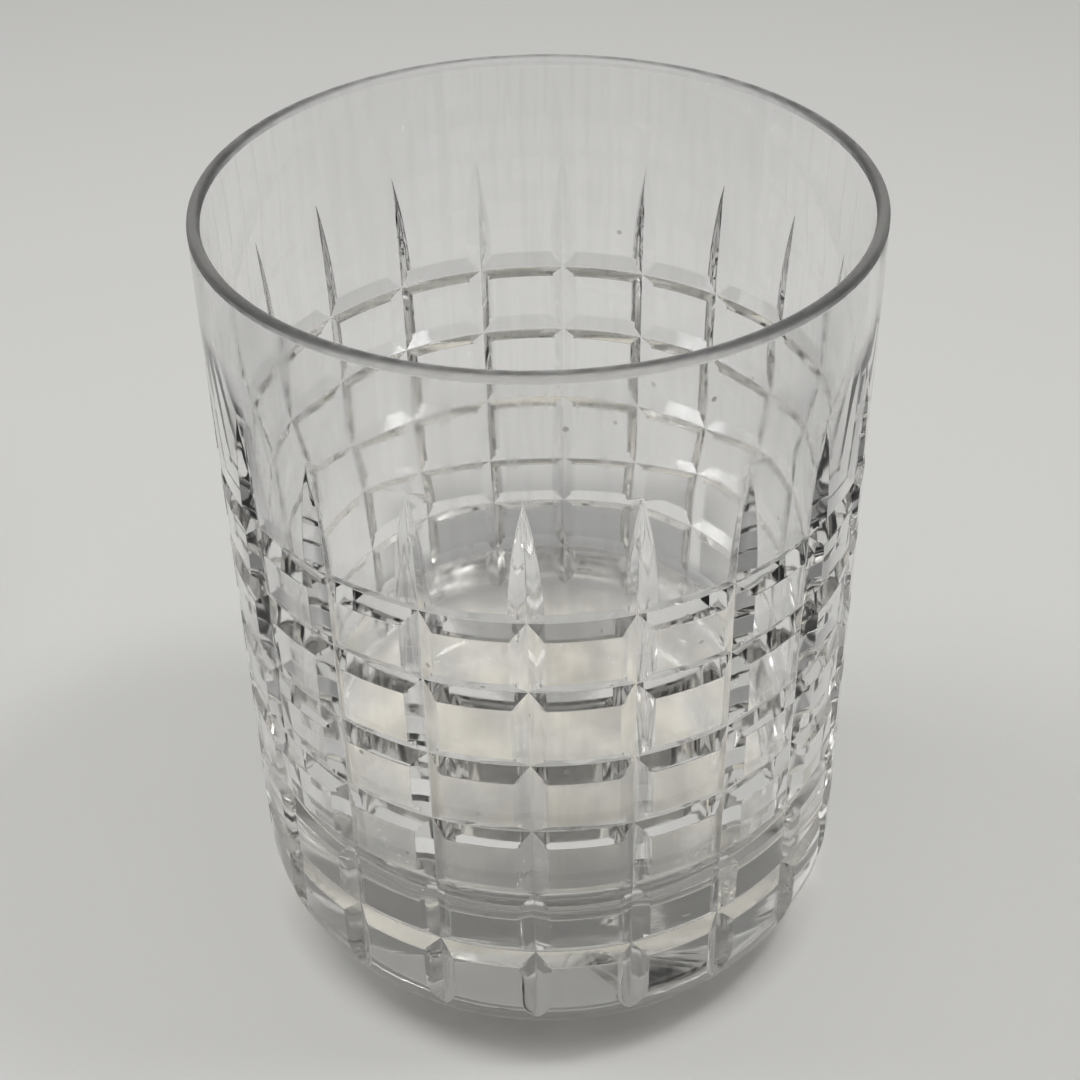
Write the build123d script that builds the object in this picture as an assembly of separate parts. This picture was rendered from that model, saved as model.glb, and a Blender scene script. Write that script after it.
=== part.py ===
"""Cut-glass whiskey tumbler: one piece of clear glass, standing on its flat foot.

Millimetres, +Z up, origin at the middle of the foot. A plain cylinder with a heavy base, a round
heel and a thin melted lip, ground outside with twenty upright mitre cuts and six level ones that
cross them as a grid. The upright cuts run out above the grid as long points.
"""

import os
from math import acos, cos, sin, sqrt

from build123d import *

# Driving dimensions
RIM_DIAMETER = 82.0
HEIGHT = 108.0
HEEL_RADIUS = 13.0
LIP_THICKNESS = 1.5
LIP_ROUNDING = 0.6
# Above this height the wall has one thickness, and below it the wall thickens towards the base
WALL_BEND_HEIGHT = 94.0
WALL_BEND_RADIUS = 150.0
BASE_THICKNESS = 22.0
FLOOR_DIAMETER = 72.0
FLOOR_CORNER_RADIUS = 7.0

# Mitre cuts
UPRIGHT_CUTS = 20
UPRIGHT_WIDTH = 4.3
UPRIGHT_DEPTH = 1.25
UPRIGHT_TIP_HEIGHT = 92.0
WHEEL_RADIUS = 120.0
RING_CUTS = 6
RING_WIDTH = 4.0
RING_DEPTH = 1.15
LOWEST_RING_HEIGHT = 20.5
RING_PITCH = 10.9

# How far a cutter stands out of the glass, so that it cuts cleanly through the skin
CUTTER_CLEARANCE = 1.5

OUTER_RADIUS = RIM_DIAMETER / 2


def blank():
    """The uncut tumbler: half its section, with every corner rounded, turned about Z."""
    lip_inner = OUTER_RADIUS - LIP_THICKNESS
    heel = (OUTER_RADIUS, 0)
    lip_corners = [(OUTER_RADIUS, HEIGHT), (lip_inner, HEIGHT)]
    wall_bend = (lip_inner, WALL_BEND_HEIGHT)
    floor_corner = (FLOOR_DIAMETER / 2, BASE_THICKNESS)
    inside = [wall_bend, floor_corner, (0, BASE_THICKNESS)]
    section = make_face(Polyline((0, 0), heel, *lip_corners, *inside, close=True))
    section = round_corners(section, [heel], HEEL_RADIUS)
    section = round_corners(section, [wall_bend], WALL_BEND_RADIUS)
    section = round_corners(section, [floor_corner], FLOOR_CORNER_RADIUS)
    section = round_corners(section, lip_corners, LIP_ROUNDING)
    return revolve(Plane.XZ * section, Axis.Z, 360)


def round_corners(section, corners, radius):
    """The flat section with the corners at these points rounded."""
    chosen = []
    for corner in corners:
        chosen.append(section.vertices().sort_by_distance(corner)[0])
    return fillet(chosen, radius)


def mitre(width, depth):
    """The section of a cut: a V with its root at the origin, opening along +X past the skin."""
    reach = depth + CUTTER_CLEARANCE
    half_opening = width / 2 * reach / depth
    return make_face(Polyline((0, 0), (reach, half_opening), (reach, -half_opening), close=True))


def ring_cutter(level):
    """A level V-cut all the way round the glass."""
    root = Pos(OUTER_RADIUS - RING_DEPTH, level)
    return revolve(Plane.XZ * root * mitre(RING_WIDTH, RING_DEPTH), Axis.Z, 360)


def upright_cutter():
    """An upright V-cut on the +X side: straight from below the heel, then out along the wheel."""
    root = OUTER_RADIUS - UPRIGHT_DEPTH
    run_out = sqrt(WHEEL_RADIUS**2 - (WHEEL_RADIUS - UPRIGHT_DEPTH) ** 2)
    start = (root, 0, -CUTTER_CLEARANCE)
    lift = (root, 0, UPRIGHT_TIP_HEIGHT - run_out)
    turn = acos(1 - (UPRIGHT_DEPTH + CUTTER_CLEARANCE) / WHEEL_RADIUS)
    way_out = [wheel_point(lift, turn * share) for share in (0.5, 1.0)]
    path = Wire([Edge.make_line(start, lift), Edge.make_three_point_arc(lift, *way_out)])
    section = Pos(*start) * mitre(UPRIGHT_WIDTH, UPRIGHT_DEPTH)
    return sweep(section, path=path)


def wheel_point(lift, turn):
    """Where the wheel's edge has got to, this far round from the point at which it lifts."""
    out = WHEEL_RADIUS * (1 - cos(turn))
    up = WHEEL_RADIUS * sin(turn)
    return (lift[0] + out, 0, lift[2] + up)


def tumbler():
    glass = blank()
    for ring in range(RING_CUTS):
        glass -= ring_cutter(LOWEST_RING_HEIGHT + ring * RING_PITCH)
    cutter = upright_cutter()
    for step in range(UPRIGHT_CUTS):
        glass -= Rot(0, 0, step * 360 / UPRIGHT_CUTS) * cutter
    return glass


os.makedirs("parts", exist_ok=True)
export_step(tumbler(), "parts/tumbler_glass.step")
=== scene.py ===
"""Looks for the cut-glass whiskey tumbler: its finished glass mesh, its material, and a plain studio."""

import math

import bpy
import numpy as np
from mathutils import Matrix, Vector


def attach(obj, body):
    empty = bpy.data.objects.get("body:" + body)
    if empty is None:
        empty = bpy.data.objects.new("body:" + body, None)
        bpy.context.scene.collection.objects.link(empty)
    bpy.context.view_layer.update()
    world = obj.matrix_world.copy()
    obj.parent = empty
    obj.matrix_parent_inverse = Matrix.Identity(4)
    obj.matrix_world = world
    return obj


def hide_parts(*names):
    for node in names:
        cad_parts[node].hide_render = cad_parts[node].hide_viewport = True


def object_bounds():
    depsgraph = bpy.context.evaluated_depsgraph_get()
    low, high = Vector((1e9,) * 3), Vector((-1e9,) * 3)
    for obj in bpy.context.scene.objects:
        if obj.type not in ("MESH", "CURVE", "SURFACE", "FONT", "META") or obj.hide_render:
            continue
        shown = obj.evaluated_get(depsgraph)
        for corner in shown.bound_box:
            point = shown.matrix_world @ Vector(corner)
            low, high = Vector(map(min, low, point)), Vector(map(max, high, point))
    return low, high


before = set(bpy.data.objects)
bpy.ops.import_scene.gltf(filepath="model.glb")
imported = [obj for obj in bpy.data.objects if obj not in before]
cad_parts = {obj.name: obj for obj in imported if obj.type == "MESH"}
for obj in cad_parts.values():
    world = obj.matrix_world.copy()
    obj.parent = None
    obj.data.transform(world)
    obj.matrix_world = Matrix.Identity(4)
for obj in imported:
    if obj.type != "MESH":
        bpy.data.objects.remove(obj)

CAD_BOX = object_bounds()
MM = 0.001

# The body of the glass, in metres, as the CAD has it
RADIUS = (CAD_BOX[1][0] - CAD_BOX[0][0]) / 2
HEIGHT = CAD_BOX[1][2]
HEEL_RADIUS = 13.0 * MM
LIP_THICKNESS = 1.5 * MM
LIP_ROUNDING = 0.6 * MM
WALL_BEND_HEIGHT = 94.0 * MM
WALL_BEND_RADIUS = 150.0 * MM
BASE_THICKNESS = 22.0 * MM
FLOOR_RADIUS = 36.0 * MM
FLOOR_CORNER = 7.0 * MM

# The mitre cuts
UPRIGHT_CUTS = 20
CUT_DEPTH = 1.2 * MM
UPRIGHT_HALF_WIDTH = 2.15 * MM
RING_HALF_WIDTH = 2.0 * MM
RING_HEIGHTS = [h * MM for h in (20.5, 31.4, 42.3, 53.2, 64.8, 75.0)]
WHEEL_RADIUS = 120.0 * MM
# The wheel's arc is followed no further than this share of its radius
WHEEL_LIMIT = 0.9
TIP_HEIGHT = 92.0 * MM
RUN_OUT = math.sqrt(WHEEL_RADIUS**2 - (WHEEL_RADIUS - CUT_DEPTH) ** 2)
# How far round the heel, from the foot, the upright cuts begin
HEEL_TIP_TURN = math.asin(1 - CUT_DEPTH / HEEL_RADIUS)
# How far the rounding of the ridges and the roots reaches, as shares of a cut's depth and half width
SHOULDER_SOFTNESS = 0.045
ROOT_SOFTNESS = 0.04

# How uneven the hand-held cuts are
RING_CLIMB = 1.5 * MM
RING_UNEVENNESS = 0.12 * MM
TIP_UNEVENNESS = 0.8 * MM
DIVISION_UNEVENNESS = math.radians(0.2)

# The division drifts most at this angle round the glass
MOST_DRIFT = math.radians(3.2)
DRIFT_MIDDLE = math.radians(145)
# The level cuts' unevenness fades out over this much of the height at the foot and at the lip
CLIMB_FADE = 18 * MM
# The tips' unevenness starts at a height, is whole after its rise, and fades out to the lip
TIP_BAND_START = 79 * MM
TIP_BAND_RISE = 9 * MM
TIP_BAND_FALL = 15 * MM
# The unevenness is a sum of waves round the glass, each with a share drawn from this range
RIPPLE_WAVES = (2, 3, 5, 7)
RIPPLE_SHARE = (0.2, 0.4)
DIVISION_SEED = 3
CLIMB_SEED = 7
TIP_SEED = 11

# Where the mesh has its lines across half a cut, as shares of the cut's half width
CUT_LINES = (0.0, 0.02, 0.04, 0.5, 0.955, 0.9775, 1.0, 1.0225, 1.045)
LAND_COLUMNS = 5
# A cut that has run out keeps this share of its width in the mesh, so that its lines stay apart
LEAST_CUT_SHARE = 0.012
# Above the tips the mesh's lines spread out again over this height
SPREAD_HEIGHT = 8 * MM

# Where the mesh has its rows: as shares of the foot and of the inner floor, as degrees round the
# heel below and above the start of the cuts, and as millimetres, up the wall and above the tips
FOOT_ROWS = (0.02, 0.3, 0.65)
FLOOR_ROWS = (0, 0.15, 0.35, 0.6, 0.85, 0.98)
HEEL_ROWS = (0, 12, 24, 36, 46, 54, 60, 63)
UPPER_HEEL_ROWS = (67, 70, 74, 78, 82, 86)
RUN_OUT_ROWS = (78.5, 80, 81.5, 83, 84.5, 86, 87.2, 88.4, 89.4, 90.2, 90.9, 91.4, 91.75)
PAST_TIP_ROWS = (0, 0.4, 1.2, 3, 6, 10)
LOWEST_WALL_STEP = 2.5 * MM
# How many evenly spaced rows the other pieces have
EVEN_ROWS = {
    "lip_outer": 4,
    "lip_flat": 1,
    "lip_inner": 4,
    "mouth": 3,
    "wall_bend": 4,
    "inside": 11,
    "floor_corner": 10,
}

# Normals are taken a step apart, a little towards the middle of each face from its corners
STEP = 1e-7
NORMAL_INSET = 0.06
SHORTEST_NORMAL = 1e-30


def softened_abs(x, softness):
    """The size of x with its corner at 0 rounded."""
    return np.where(np.abs(x) < softness, (x * x + softness**2) / (2 * softness), np.abs(x))


def softened_positive(x, softness):
    """x where it is above 0, and 0 elsewhere, with the corner rounded."""
    return np.where(np.abs(x) < softness, (x + softness) ** 2 / (4 * softness), np.maximum(x, 0))


def smooth_step(x):
    x = np.clip(x, 0, 1)
    return x * x * (3 - 2 * x)


# --- The section of the uncut glass, as pieces that each give radius and height for a share 0 to 1


def line(start, end):
    def at(u):
        return start[0] + (end[0] - start[0]) * u, start[1] + (end[1] - start[1]) * u

    return at


def arc(centre, radius, first, last):
    """A round stretch; the angles are in degrees, from +r towards +z."""

    def at(u):
        turn = np.radians(first + (last - first) * u)
        return centre[0] + radius * np.cos(turn), centre[1] + radius * np.sin(turn)

    return at


def section():
    """The pieces of the section from the middle of the foot, up the outside and down the inside."""
    heel_centre = (RADIUS - HEEL_RADIUS, HEEL_RADIUS)
    lip_inner = RADIUS - LIP_THICKNESS
    lip_low = HEIGHT - LIP_ROUNDING
    lean = math.atan2(lip_inner - FLOOR_RADIUS, WALL_BEND_HEIGHT - BASE_THICKNESS)
    lean_deg = math.degrees(lean)
    # The wall is as thick all the way down to a slight bend, and leans inwards from there
    bend_top = WALL_BEND_HEIGHT + WALL_BEND_RADIUS * math.tan(lean / 2)
    bend_centre = (lip_inner - WALL_BEND_RADIUS, bend_top)
    bend_foot = (
        bend_centre[0] + WALL_BEND_RADIUS * math.cos(lean),
        bend_centre[1] - WALL_BEND_RADIUS * math.sin(lean),
    )
    corner_turn = math.tan((math.pi / 2 + lean) / 2)
    floor_centre = (FLOOR_RADIUS - FLOOR_CORNER / corner_turn, BASE_THICKNESS + FLOOR_CORNER)
    wall_foot = (
        floor_centre[0] + FLOOR_CORNER * math.cos(lean),
        floor_centre[1] - FLOOR_CORNER * math.sin(lean),
    )
    inner_centre = (lip_inner + LIP_ROUNDING, lip_low)
    return {
        "foot": line((0, 0), (heel_centre[0], 0)),
        "heel": arc(heel_centre, HEEL_RADIUS, -90, 0),
        "wall": line((RADIUS, HEEL_RADIUS), (RADIUS, lip_low)),
        "lip_outer": arc((RADIUS - LIP_ROUNDING, lip_low), LIP_ROUNDING, 0, 90),
        "lip_flat": line((RADIUS - LIP_ROUNDING, HEIGHT), (inner_centre[0], HEIGHT)),
        "lip_inner": arc(inner_centre, LIP_ROUNDING, 90, 180),
        "mouth": line((lip_inner, lip_low), (lip_inner, bend_top)),
        "wall_bend": arc(bend_centre, WALL_BEND_RADIUS, 0, -lean_deg),
        "inside": line(bend_foot, wall_foot),
        "floor_corner": arc(floor_centre, FLOOR_CORNER, -lean_deg, -90),
        "floor": line((floor_centre[0], BASE_THICKNESS), (0, BASE_THICKNESS)),
    }


SECTION = section()
CUT_PIECES = ("heel", "wall")


# --- The cuts


def wheel_lift(z):
    """How far the wheel has come out of an upright cut at this height."""
    past = np.clip(z - (TIP_HEIGHT - RUN_OUT), 0, WHEEL_RADIUS * WHEEL_LIMIT)
    return WHEEL_RADIUS - np.sqrt(WHEEL_RADIUS**2 - past**2)


def cut_radius(body_radius, z, turn):
    """The outer radius left by the cuts, at this nominal angle and height."""
    pitch = 2 * math.pi / UPRIGHT_CUTS
    beside = (turn + pitch / 2) % pitch - pitch / 2
    slope = CUT_DEPTH / UPRIGHT_HALF_WIDTH
    across = softened_abs(np.tan(beside), ROOT_SOFTNESS * UPRIGHT_HALF_WIDTH / RADIUS)
    root = RADIUS - CUT_DEPTH + wheel_lift(z)
    depth = body_radius - root / ((1 - slope * across) * np.cos(beside))
    for height in RING_HEIGHTS:
        away = softened_abs(z - height, ROOT_SOFTNESS * RING_HALF_WIDTH)
        ring = body_radius - (RADIUS - CUT_DEPTH + away * CUT_DEPTH / RING_HALF_WIDTH)
        depth = np.maximum(depth, ring)
    return body_radius - softened_positive(depth, SHOULDER_SOFTNESS * CUT_DEPTH)


def ripple(turn, seed):
    """A gentle unevenness round the glass, between about -1 and 1, that one seed always repeats."""
    draw = np.random.default_rng(seed)
    total = np.zeros_like(turn)
    for waves in RIPPLE_WAVES:
        share = draw.uniform(*RIPPLE_SHARE)
        total = total + share * np.sin(waves * turn + draw.uniform(0, 2 * math.pi))
    return total


def drift(turn):
    """How far, in radians, the cutter's division has drifted round the glass."""
    behind = np.clip(np.cos(turn - DRIFT_MIDDLE), 0, None)
    return -MOST_DRIFT * behind + DIVISION_UNEVENNESS * ripple(turn, DIVISION_SEED)


def hand_lift(turn, z):
    """How far the cuts stand above their marks: the level ones climb towards the back."""
    share = smooth_step(z / CLIMB_FADE) * smooth_step((HEIGHT - z) / CLIMB_FADE)
    climb = RING_CLIMB * (0.5 + 0.5 * np.sin(turn)) + RING_UNEVENNESS * ripple(turn, CLIMB_SEED)
    near_tips = smooth_step((z - TIP_BAND_START) / TIP_BAND_RISE)
    near_tips = near_tips * smooth_step((HEIGHT - z) / TIP_BAND_FALL)
    return climb * share + TIP_UNEVENNESS * ripple(turn, TIP_SEED) * near_tips


def surface(piece, u, turn):
    """Points of the finished surface, as an array of x, y, z."""
    r, z = SECTION[piece](u)
    r = r + np.zeros_like(turn)
    z = z + np.zeros_like(turn)
    if piece in CUT_PIECES:
        r = cut_radius(r, z, turn)
        z = z + hand_lift(turn, z)
    real = turn + drift(turn)
    return np.stack([r * np.cos(real), r * np.sin(real), z], axis=-1)


def normals(piece, u, turn):
    along = surface(piece, u + STEP, turn) - surface(piece, u - STEP, turn)
    around = surface(piece, u, turn + STEP) - surface(piece, u, turn - STEP)
    n = np.cross(around, along)
    return n / np.maximum(np.linalg.norm(n, axis=-1, keepdims=True), SHORTEST_NORMAL)


# --- The mesh's lines


def rows():
    """Each row of the mesh as its piece, its share along it, and the ring line that it lies on."""
    made = [("foot", share, None) for share in FOOT_ROWS]
    for turn in (*HEEL_ROWS, math.degrees(HEEL_TIP_TURN), *UPPER_HEEL_ROWS):
        made.append(("heel", turn / 90, None))
    for z, tag in wall_heights():
        made.append(("wall", (z - HEEL_RADIUS) / (HEIGHT - LIP_ROUNDING - HEEL_RADIUS), tag))
    for piece, count in EVEN_ROWS.items():
        made += [(piece, row / count, None) for row in range(count)]
    made += [("floor", share, None) for share in FLOOR_ROWS]
    return made


def wall_heights():
    """Heights of the rows up the outer wall, each with the place of its line across a level cut."""
    made = [(HEEL_RADIUS, None), (HEEL_RADIUS + LOWEST_WALL_STEP, None)]
    for index, height in enumerate(RING_HEIGHTS):
        lines = [-share for share in reversed(CUT_LINES[1:])] + list(CUT_LINES)
        made += [(height + share * RING_HALF_WIDTH, share) for share in lines]
        if index + 1 < len(RING_HEIGHTS):
            middle = (height + RING_HEIGHTS[index + 1]) / 2
            made.append((middle, None))
    made += [(z * MM, None) for z in RUN_OUT_ROWS]
    made += [(TIP_HEIGHT + z * MM, None) for z in PAST_TIP_ROWS]
    return made


def cut_share(piece, u):
    """How wide the mesh's upright cut lines stand at this row, as a share of the cut's full width."""
    if piece not in CUT_PIECES:
        return 1.0
    r, z = SECTION[piece](u)
    lifted = (wheel_lift(z) + RADIUS - r) / CUT_DEPTH
    past_tip = max(z - TIP_HEIGHT, 0) / SPREAD_HEIGHT
    heel_tip = HEEL_RADIUS * (1 - math.cos(HEEL_TIP_TURN))
    below_tip = max(heel_tip - z, 0) / heel_tip
    return float(max(1 - lifted, LEAST_CUT_SHARE, smooth_step(past_tip), smooth_step(below_tip)))


def columns(share):
    """Nominal angles of the mesh's columns in one row, and each column's line across a cut."""
    pitch = 2 * math.pi / UPRIGHT_CUTS
    half = UPRIGHT_HALF_WIDTH / RADIUS * share
    lines = [-share_across for share_across in reversed(CUT_LINES[1:])] + list(CUT_LINES)
    turns = []
    for cut in range(UPRIGHT_CUTS):
        centre = cut * pitch
        turns += [centre + share_across * half for share_across in lines]
        first, last = centre + lines[-1] * half, centre + pitch - lines[-1] * half
        turns += [first + (last - first) * i / LAND_COLUMNS for i in range(1, LAND_COLUMNS)]
    tags = (lines + [None] * (LAND_COLUMNS - 1)) * UPRIGHT_CUTS
    return np.array(turns), tags


def mitre_split(row_tags, column_tags):
    """Which way to split a mesh cell that a mitre's ridge crosses: 0 for none, else 1 or 2."""
    if None in row_tags or None in column_tags:
        return 0
    near = [min(abs(t) for t in tags) for tags in (row_tags, column_tags)]
    far = [max(abs(t) for t in tags) for tags in (row_tags, column_tags)]
    if near[0] != near[1] or far[0] != far[1]:
        return 0
    rising_row = abs(row_tags[0]) < abs(row_tags[1])
    rising_column = abs(column_tags[0]) < abs(column_tags[1])
    return 1 if rising_row == rising_column else 2


def next_stop(lines, k):
    """The piece that the band above row k lies on, and the shares along it where the band ends."""
    piece, u, _ = lines[k]
    if k + 1 == len(lines) or lines[k + 1][0] != piece:
        return piece, u, 1.0
    return piece, u, lines[k + 1][1]


def cell_faces(corners, split):
    """The faces of a mesh cell, as lists of its corners: one with four sides, or two triangles."""
    if split == 0:
        return [corners]
    if split == 1:
        return [[corners[0], corners[1], corners[2]], [corners[0], corners[2], corners[3]]]
    return [[corners[0], corners[1], corners[3]], [corners[1], corners[2], corners[3]]]


def band_faces(lines, turn_rows, column_tags):
    """The faces between the rows, each as its piece of the section and its corners.

    A corner is the number of its point, the share along the piece and the angle.
    """
    count = len(column_tags)
    faces = []
    for k in range(len(lines) - 1):
        piece, low, high = next_stop(lines, k)
        lower, upper = turn_rows[k], turn_rows[k + 1]
        row_tags = (lines[k][2], lines[k + 1][2])
        for j in range(count):
            after = (j + 1) % count
            wrap = 2 * math.pi if after == 0 else 0.0
            corners = [
                (k * count + j, low, lower[j]),
                (k * count + after, low, lower[after] + wrap),
                ((k + 1) * count + after, high, upper[after] + wrap),
                ((k + 1) * count + j, high, upper[j]),
            ]
            split = mitre_split(row_tags, (column_tags[j], column_tags[after]))
            faces += [(piece, face) for face in cell_faces(corners, split)]
    return faces


def shading_normals(faces):
    """The normal at each corner of each face, from the surface itself."""
    shares, turns, pieces = [], [], []
    for piece, corners in faces:
        middle_share = sum(c[1] for c in corners) / len(corners)
        middle_turn = sum(c[2] for c in corners) / len(corners)
        for _, share, turn in corners:
            shares.append(share + (middle_share - share) * NORMAL_INSET)
            turns.append(turn + (middle_turn - turn) * NORMAL_INSET)
            pieces.append(piece)
    shares, turns, pieces = np.array(shares), np.array(turns), np.array(pieces)
    made = np.zeros((len(shares), 3))
    for piece in SECTION:
        mine = pieces == piece
        made[mine] = normals(piece, shares[mine], turns[mine])
    return made


def cap(centre, first, count, up):
    """Triangles from a middle point to the row that starts at this point, facing up or down."""
    made = []
    for j in range(count):
        a, b = first + j, first + (j + 1) % count
        made.append([centre, a, b] if up else [centre, b, a])
    return made


def glass_mesh():
    lines = rows()
    turn_rows = []
    for piece, share, _ in lines:
        turns, column_tags = columns(cut_share(piece, share))
        turn_rows.append(turns)
    count = len(column_tags)
    points = []
    for (piece, share, _), turns in zip(lines, turn_rows):
        points.append(surface(piece, np.full(count, share), turns))
    foot_middle, floor_middle = len(lines) * count, len(lines) * count + 1
    points = np.concatenate([*points, [[0, 0, 0], [0, 0, BASE_THICKNESS]]])
    faces = band_faces(lines, turn_rows, column_tags)
    polygons = [[corner[0] for corner in corners] for _, corners in faces]
    polygons += cap(foot_middle, 0, count, up=False)
    polygons += cap(floor_middle, (len(lines) - 1) * count, count, up=True)
    cap_normals = [[0, 0, -1]] * (3 * count) + [[0, 0, 1]] * (3 * count)
    corner_normals = np.concatenate([shading_normals(faces), cap_normals])
    mesh = bpy.data.meshes.new("tumbler_cut_glass")
    mesh.from_pydata(points.tolist(), [], polygons)
    mesh.update()
    mesh.polygons.foreach_set("use_smooth", [True] * len(mesh.polygons))
    mesh.normals_split_custom_set(corner_normals.tolist())
    return mesh


# --- The material


class Shader:
    """A small helper that adds maths nodes to a node tree."""

    def __init__(self, tree):
        self.nodes = tree.nodes
        self.links = tree.links

    def put(self, socket, value):
        if isinstance(value, bpy.types.NodeSocket):
            self.links.new(value, socket)
        else:
            socket.default_value = value

    def coordinates(self, kind):
        return self.nodes.new("ShaderNodeTexCoord").outputs[kind]

    def maths(self, operation, *values):
        node = self.nodes.new("ShaderNodeMath")
        node.operation = operation
        for socket, value in zip(node.inputs, values):
            self.put(socket, value)
        return node.outputs[0]

    def times(self, first, second):
        return self.maths("MULTIPLY", first, second)

    def opposite(self, share):
        """1 where the share is 0, and 0 where it is 1."""
        return self.maths("SUBTRACT", 1.0, share)

    def ramp(self, value, low, high, at_low=0.0, at_high=1.0):
        """A smooth change of value from at_low to at_high, between low and high."""
        node = self.nodes.new("ShaderNodeMapRange")
        node.interpolation_type = "SMOOTHSTEP"
        for socket, setting in zip(node.inputs, (value, low, high, at_low, at_high)):
            self.put(socket, setting)
        return node.outputs[0]

    def fade(self, value, low, high):
        """1 where the value is below low, and 0 above high."""
        return self.ramp(value, low, high, 1.0, 0.0)

    def between(self, share, none, full):
        """A number that goes from none to full as the share goes from 0 to 1."""
        return self.ramp(share, 0.0, 1.0, none, full)

    def split(self, vector):
        node = self.nodes.new("ShaderNodeSeparateXYZ")
        self.links.new(vector, node.inputs[0])
        return node.outputs

    def join(self, x, y, z):
        node = self.nodes.new("ShaderNodeCombineXYZ")
        for socket, value in zip(node.inputs, (x, y, z)):
            self.put(socket, value)
        return node.outputs[0]

    def from_axis(self, place):
        """How far a place is from the Z axis."""
        squares = [self.maths("POWER", part, 2.0) for part in (place[0], place[1])]
        return self.maths("SQRT", self.maths("ADD", *squares))

    def blend(self, share, first, second):
        """A colour that goes from the first to the second."""
        node = self.nodes.new("ShaderNodeMix")
        node.data_type = "RGBA"
        factor, start, end = [s for s in node.inputs if s.enabled]
        self.put(factor, share)
        for socket, colour in ((start, first), (end, second)):
            self.put(socket, (*colour, 1) if isinstance(colour, tuple) else colour)
        return [s for s in node.outputs if s.enabled][0]

    def noise(self, vector, scale, detail=2.0):
        """Cloudy noise, between about 0.3 and 0.7, with this many clouds to each unit of length."""
        node = self.nodes.new("ShaderNodeTexNoise")
        self.put(node.inputs["Vector"], vector)
        node.inputs["Scale"].default_value = scale
        node.inputs["Detail"].default_value = detail
        return node.outputs[0]


GLASS_IOR = 1.52
DEPTH_TINT = (0.95, 0.945, 0.92)
DEPTH_TINT_DENSITY = 18.0
BODY_ROUGHNESS = 0.02
CLEAN_TINT = (1.0, 1.0, 1.0)

# Each mark has the scale and the detail of its noise, the band of the noise that it takes up, and
# how much rougher it is than clean glass
SMUDGE_SCALE = 55.0
SMUDGE_DETAIL = 4.0
SMUDGE_BAND = (0.5, 0.68)
SMUDGE_ROUGHNESS = 0.05
WIPE_SCALE = 34.0
WIPE_DETAIL = 3.0
WIPE_BAND = (0.45, 0.65)
WIPE_ROUGHNESS = 0.04
# The streaks lie on noise round a cylinder of radius 1, where height counts this many times
WIPE_CLIMB = 2.0
FILM_TINT = (0.93, 0.93, 0.935)

# Dust is scattered in small cells: how large and how clear a speck is, and which cells have one
SPECK_SCALE = 200.0
SPECK_SIZE = 0.085
SPECK_CORE = 0.6
SPECK_CHOICE = (0.8, 0.85)
SPECK_ROUGHNESS = 0.5
SPECK_TINT = (0.5, 0.48, 0.44)

FOOT_ROUGHNESS = 0.25
FOOT_WEAR = (24.0 * MM, 27.0 * MM)
FOOT_SKIN = 0.4 * MM
SCUFF_SCALE = 900.0
SCUFF_BAND = (0.4, 0.6)

LIP_ROUGHNESS = 0.65
LIP_START = (HEIGHT - LIP_ROUNDING * 2.0, HEIGHT - LIP_ROUNDING * 1.3)
LIP_GRAIN_SCALE = 700.0
LIP_GRAIN_BAND = (0.35, 0.65)
LIP_UNEVENNESS = (0.85, 1.1)

WAVE_HEIGHT = 0.02 * MM
WAVE_SCALE = 6.0
WAVE_CLIMB = 9.0


def round_the_glass(tree, place, climb):
    """Coordinates for noise with no seam round the glass, where height is multiplied by climb."""
    around = tree.maths("ARCTAN2", place[1], place[0])
    height = tree.times(place[2], climb)
    return tree.join(tree.maths("COSINE", around), tree.maths("SINE", around), height)


def dust(tree, position):
    """1 inside a few small specks, and 0 between them."""
    cells = tree.nodes.new("ShaderNodeTexVoronoi")
    tree.put(cells.inputs["Vector"], position)
    cells.inputs["Scale"].default_value = SPECK_SCALE
    near = tree.fade(cells.outputs["Distance"], SPECK_SIZE * SPECK_CORE, SPECK_SIZE)
    chosen = tree.split(cells.outputs["Color"])[0]
    return tree.times(near, tree.ramp(chosen, *SPECK_CHOICE))


def foot_scuffs(tree, place, position):
    """The foot is scuffed where it slides on tables."""
    foot = tree.times(tree.fade(place[2], 0.0, FOOT_SKIN), tree.ramp(tree.from_axis(place), *FOOT_WEAR))
    grain = tree.ramp(tree.noise(position, SCUFF_SCALE), *SCUFF_BAND, 0.0, FOOT_ROUGHNESS)
    return tree.times(foot, grain)


def ground_lip(tree, place, position):
    """How rough the ground lip is: 0 below it."""
    grain = tree.ramp(tree.noise(position, LIP_GRAIN_SCALE), *LIP_GRAIN_BAND, *LIP_UNEVENNESS)
    return tree.times(tree.times(tree.ramp(place[2], *LIP_START), grain), LIP_ROUGHNESS)


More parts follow.
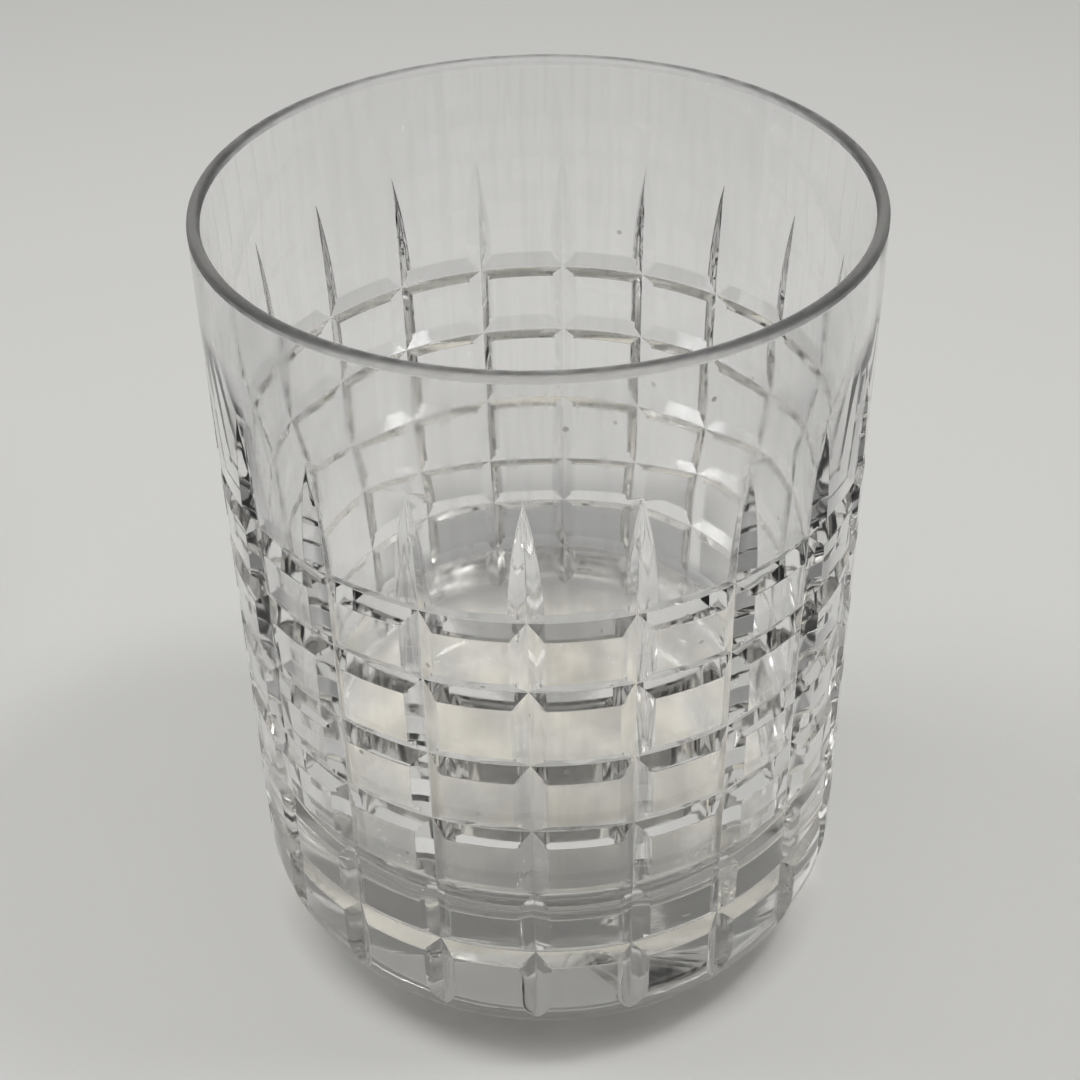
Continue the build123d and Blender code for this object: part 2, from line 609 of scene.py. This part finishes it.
def glass_material():
    material = bpy.data.materials.new("clear_crystal")
    material.use_nodes = True
    nodes = material.node_tree.nodes
    shader = nodes["Principled BSDF"]
    shader.inputs["Transmission Weight"].default_value = 1.0
    shader.inputs["IOR"].default_value = GLASS_IOR
    tree = Shader(material.node_tree)
    position = tree.coordinates("Object")
    place = tree.split(position)
    # Finger smudges in soft clouds, and the fine upright streaks that a drying cloth leaves
    smudge = tree.ramp(tree.noise(position, SMUDGE_SCALE, SMUDGE_DETAIL), *SMUDGE_BAND)
    streaks = round_the_glass(tree, place, WIPE_CLIMB)
    wipe = tree.ramp(tree.noise(streaks, WIPE_SCALE, WIPE_DETAIL), *WIPE_BAND)
    specks = dust(tree, position)
    film = tree.maths("ADD", tree.times(smudge, 0.5), tree.times(wipe, 0.5))
    clean = tree.blend(film, CLEAN_TINT, FILM_TINT)
    tree.put(shader.inputs["Base Color"], tree.blend(specks, clean, SPECK_TINT))
    roughness = tree.maths("ADD", foot_scuffs(tree, place, position), BODY_ROUGHNESS)
    marks = ((smudge, SMUDGE_ROUGHNESS), (wipe, WIPE_ROUGHNESS), (specks, SPECK_ROUGHNESS))
    for mark, extra in marks:
        roughness = tree.maths("MULTIPLY_ADD", mark, extra, roughness)
    roughness = tree.maths("MAXIMUM", roughness, ground_lip(tree, place, position))
    tree.put(shader.inputs["Roughness"], roughness)
    # The blown wall is never quite even, so what is seen through it wavers
    wave = nodes.new("ShaderNodeBump")
    wave.inputs["Distance"].default_value = WAVE_HEIGHT
    waver = round_the_glass(tree, place, WAVE_CLIMB)
    tree.put(wave.inputs["Height"], tree.noise(waver, WAVE_SCALE))
    tree.put(shader.inputs["Normal"], wave.outputs[0])
    tint = nodes.new("ShaderNodeVolumeAbsorption")
    tint.inputs["Color"].default_value = (*DEPTH_TINT, 1)
    tint.inputs["Density"].default_value = DEPTH_TINT_DENSITY
    tree.put(nodes["Material Output"].inputs["Volume"], tint.outputs[0])
    return material


# --- The studio floor. Each reach is a pair of distances between which something begins or ends

FLOOR_GAP = 0.3 * MM
FLOOR_SIZE = 8.0
FLOOR_ROUGHNESS = 0.9
FLOOR_SPECULAR = 0.1
FLOOR_COLOUR = (0.42, 0.42, 0.41)
FLOOR_GLOW = 0.225
FAR_REACH = (0.1, 0.5)
FAR_GLOW = 0.66
OPEN_GLOW_COLOUR = (1.0, 0.99, 0.955)

# The painted pool of light under the glass, a glow in the floor
POOL_RADIUS = 43.0 * MM
POOL_EDGE = 0.85
POOL_REACH = (-24.0 * MM, 15.0 * MM)
POOL_GLOW = (0.04, 0.5)
POOL_COLOUR = (1.0, 0.94, 0.8)
POOL_SCALE = 110.0
POOL_DETAIL = 3.0
POOL_BAND = (0.3, 0.7)
POOL_UNEVENNESS = (0.72, 1.25)
WARMTH_SCALE = 60.0
WARMTH_BAND = (0.35, 0.65)
WARMTH_SHARE = (0.4, 1.0)

# The glass's shade behind it
SHADE_START = (0.0, 30.0 * MM)
SHADE_REACH = (70.0 * MM, 105.0 * MM)
SHADE_WIDTH = (26.0 * MM, 46.0 * MM)
SHADE_SHARE = 0.15
SHADED_COLOUR = (0.3, 0.3, 0.3)

# Painted shade: out of the picture the floor is dimmer, with a darker colour and less glow
DIM_BESIDE = (0.085, 0.17)
DIM_BEHIND = (0.0, 0.12)
DIM_BEFORE = (0.085, 0.22)
DIM_END = (0.3, 1.0)
DIM_SHARE = 0.25
DIM_SHADE_COLOUR = (0.13, 0.13, 0.13)


def shade_behind(tree, place):
    """Behind the glass the floor is in its shade."""
    across = tree.maths("ABSOLUTE", place[0])
    shade = tree.times(tree.ramp(place[1], *SHADE_START), tree.fade(tree.from_axis(place), *SHADE_REACH))
    return tree.times(shade, tree.fade(across, *SHADE_WIDTH))


def painted_floor_shade(tree, place):
    """Painted shade out of the picture: beside and before the glass the floor is dimmer, and the cuts
    show it.
    """
    across = tree.maths("ABSOLUTE", place[0])
    beside = tree.times(tree.ramp(across, *DIM_BESIDE), tree.fade(place[1], *DIM_BEHIND))
    before = tree.ramp(tree.times(place[1], -1.0), *DIM_BEFORE)
    return tree.times(tree.maths("MAXIMUM", beside, before), tree.fade(tree.from_axis(place), *DIM_END))


def light_pool(tree, place, position):
    """A painted pool of light for the light that the glass gathers: an uneven glow under it, brightest
    at the back.
    """
    pool = tree.ramp(place[1], *POOL_REACH, *POOL_GLOW)
    clouds = tree.noise(position, POOL_SCALE, POOL_DETAIL)
    return tree.times(pool, tree.ramp(clouds, *POOL_BAND, *POOL_UNEVENNESS))


def floor_paint():
    paint = bpy.data.materials.new("pale_floor")
    paint.use_nodes = True
    shader = paint.node_tree.nodes["Principled BSDF"]
    shader.inputs["Roughness"].default_value = FLOOR_ROUGHNESS
    shader.inputs["Specular IOR Level"].default_value = FLOOR_SPECULAR
    tree = Shader(paint.node_tree)
    position = tree.coordinates("Object")
    place = tree.split(position)
    away = tree.from_axis(place)
    shade = shade_behind(tree, place)
    dim_shade = painted_floor_shade(tree, place)
    colour = tree.blend(shade, FLOOR_COLOUR, SHADED_COLOUR)
    # The floor's colour carries painted shade, behind the glass and, out of the picture, beside and
    # before it
    tree.put(shader.inputs["Base Color"], tree.blend(dim_shade, colour, DIM_SHADE_COLOUR))
    under_glass = tree.fade(away, POOL_RADIUS * POOL_EDGE, POOL_RADIUS)
    # The painted pool of light glows warmer in uneven clouds
    warmth = tree.ramp(tree.noise(position, WARMTH_SCALE), *WARMTH_BAND, *WARMTH_SHARE)
    warmth = tree.times(under_glass, warmth)
    tree.put(shader.inputs["Emission Color"], tree.blend(warmth, OPEN_GLOW_COLOUR, POOL_COLOUR))
    open_floor = tree.ramp(away, *FAR_REACH, 1.0, FAR_GLOW)
    open_floor = tree.times(open_floor, tree.between(shade, 1.0, SHADE_SHARE))
    # The painted shade out of the picture also lowers the floor's glow
    open_floor = tree.times(open_floor, tree.between(dim_shade, FLOOR_GLOW, FLOOR_GLOW * DIM_SHARE))
    pool = tree.times(light_pool(tree, place, position), under_glass)
    open_floor = tree.times(open_floor, tree.opposite(under_glass))
    tree.put(shader.inputs["Emission Strength"], tree.maths("ADD", pool, open_floor))
    return paint


def studio_floor():
    bpy.ops.mesh.primitive_plane_add(size=FLOOR_SIZE, location=(0, 0, -FLOOR_GAP))
    floor = bpy.context.object
    floor.name = "studio_floor"
    floor.data.materials.append(floor_paint())


# --- The studio's soft light from all round. Each pair is a band of a direction's X, Y or Z part

SKY_COLOUR = (1.0, 0.995, 0.985)
FRONT_LIGHT = 0.55
BACK_LIGHT = 0.16
BACK_START = (0.15, 0.45)
BACK_TOP = (0.8, 0.92)
VIEWER_SHARE = 0.6
VIEWER_START = (-0.75, -0.6)
VIEWER_WIDTH = (0.15, 0.35)
SIDE_LIGHT = 0.5
SIDE_START = (0.55, 0.75)
SIDE_FOOT = (0.4, 0.55)
WALL_TOP = (0.18, 0.42)
WALL_SHARE = 0.3
FLANK_WIDTH = (0.2, 0.4)
FLANK_START = (0.0, 0.3)
HORIZON_REACH = (0.16, 0.3)
HORIZON_GLOW = 0.4


def studio_sky():
    world = bpy.data.worlds.new("studio")
    bpy.context.scene.world = world
    world.use_nodes = True
    tree = Shader(world.node_tree)
    ray = tree.split(tree.coordinates("Generated"))
    sideways = tree.maths("ABSOLUTE", ray[0])
    behind = tree.times(tree.ramp(ray[1], *BACK_START), tree.fade(ray[2], *BACK_TOP))
    viewer = tree.times(tree.fade(ray[1], *VIEWER_START), tree.fade(sideways, *VIEWER_WIDTH))
    beside = tree.times(tree.ramp(sideways, *SIDE_START), tree.ramp(ray[2], *SIDE_FOOT))
    strength = tree.between(behind, FRONT_LIGHT, BACK_LIGHT)
    strength = tree.times(strength, tree.between(viewer, 1.0, VIEWER_SHARE))
    strength = tree.maths("ADD", strength, tree.times(beside, SIDE_LIGHT))
    # Low down it is a darker wall, but not at the back on either side
    flank = tree.times(tree.ramp(sideways, *FLANK_WIDTH), tree.ramp(ray[1], *FLANK_START))
    wall = tree.times(tree.fade(ray[2], *WALL_TOP), tree.opposite(flank))
    strength = tree.times(strength, tree.between(wall, 1.0, WALL_SHARE))
    # Down at the horizon it is as pale as the far floor
    horizon = tree.fade(ray[2], *HORIZON_REACH)
    strength = tree.times(strength, tree.opposite(horizon))
    strength = tree.maths("MULTIPLY_ADD", horizon, HORIZON_GLOW, strength)
    background = world.node_tree.nodes["Background"]
    background.inputs["Color"].default_value = (*SKY_COLOUR, 1)
    tree.put(background.inputs["Strength"], strength)


# --- The lamps

KEY_AZIMUTH = math.radians(172)
KEY_ELEVATION = math.radians(58)
KEY_DISTANCE = 0.7
KEY_SIZE = 0.22
KEY_POWER = 1.4
GLINT_AZIMUTH = math.radians(2)
GLINT_ELEVATION = math.radians(66)
GLINT_DISTANCE = 0.7
GLINT_SIZE = 0.11
GLINT_POWER = 1.5


def area_light(name, azimuth, elevation, distance, size, power):
    """A square soft light, pointed at the middle of the glass."""
    data = bpy.data.lights.new(name, "AREA")
    data.size = size
    data.energy = power
    light = bpy.data.objects.new(name, data)
    bpy.context.scene.collection.objects.link(light)
    level = math.cos(elevation)
    way = Vector((level * math.cos(azimuth), level * math.sin(azimuth), math.sin(elevation)))
    light.location = Vector((0, 0, HEIGHT / 2)) + way * distance
    light.rotation_euler = way.to_track_quat("Z", "Y").to_euler()


# --- The camera

VIEW_AZIMUTH = math.radians(3.05)
VIEW_ELEVATION = math.radians(37.28)
VIEW_ROLL = math.radians(-1.09)
VIEW_DISTANCE = 0.2564
NEAREST_VIEW = 0.01
# The sensor and the lens in millimetres, and how far the frame is shifted, as shares of its width
SENSOR_WIDTH = 36.0
LENS = 63.5267
SHIFT = (-0.004444, 0.015556)


def photograph_camera():
    data = bpy.data.cameras.new("camera")
    data.sensor_width = SENSOR_WIDTH
    data.lens = LENS
    data.shift_x, data.shift_y = SHIFT
    data.clip_start = NEAREST_VIEW
    camera = bpy.data.objects.new("camera", data)
    bpy.context.scene.collection.objects.link(camera)
    turn = Matrix.Rotation(VIEW_AZIMUTH, 4, "Z")
    nod = Matrix.Rotation(math.pi / 2 - VIEW_ELEVATION, 4, "X")
    roll = Matrix.Rotation(VIEW_ROLL, 4, "Z")
    back = Matrix.Translation((0, 0, VIEW_DISTANCE))
    middle = Matrix.Translation((0, 0, HEIGHT / 2))
    camera.matrix_world = middle @ turn @ nod @ back @ roll
    bpy.context.scene.camera = camera


# --- The scene

# Light passes through many faces of the cut glass before it is lost
GLASS_BOUNCES = 24
GLOSSY_BOUNCES = 8

photograph_camera()
studio_floor()
studio_sky()
area_light("key", KEY_AZIMUTH, KEY_ELEVATION, KEY_DISTANCE, KEY_SIZE, KEY_POWER)
area_light("glint", GLINT_AZIMUTH, GLINT_ELEVATION, GLINT_DISTANCE, GLINT_SIZE, GLINT_POWER)

tumbler = bpy.data.objects.new("tumbler_cut_glass", glass_mesh())
bpy.context.scene.collection.objects.link(tumbler)
tumbler.data.materials.append(glass_material())
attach(tumbler, "root")
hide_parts("tumbler_glass")

scene = bpy.context.scene
scene.view_settings.view_transform = "Standard"
scene.cycles.max_bounces = GLASS_BOUNCES
scene.cycles.transmission_bounces = GLASS_BOUNCES
scene.cycles.glossy_bounces = GLOSSY_BOUNCES
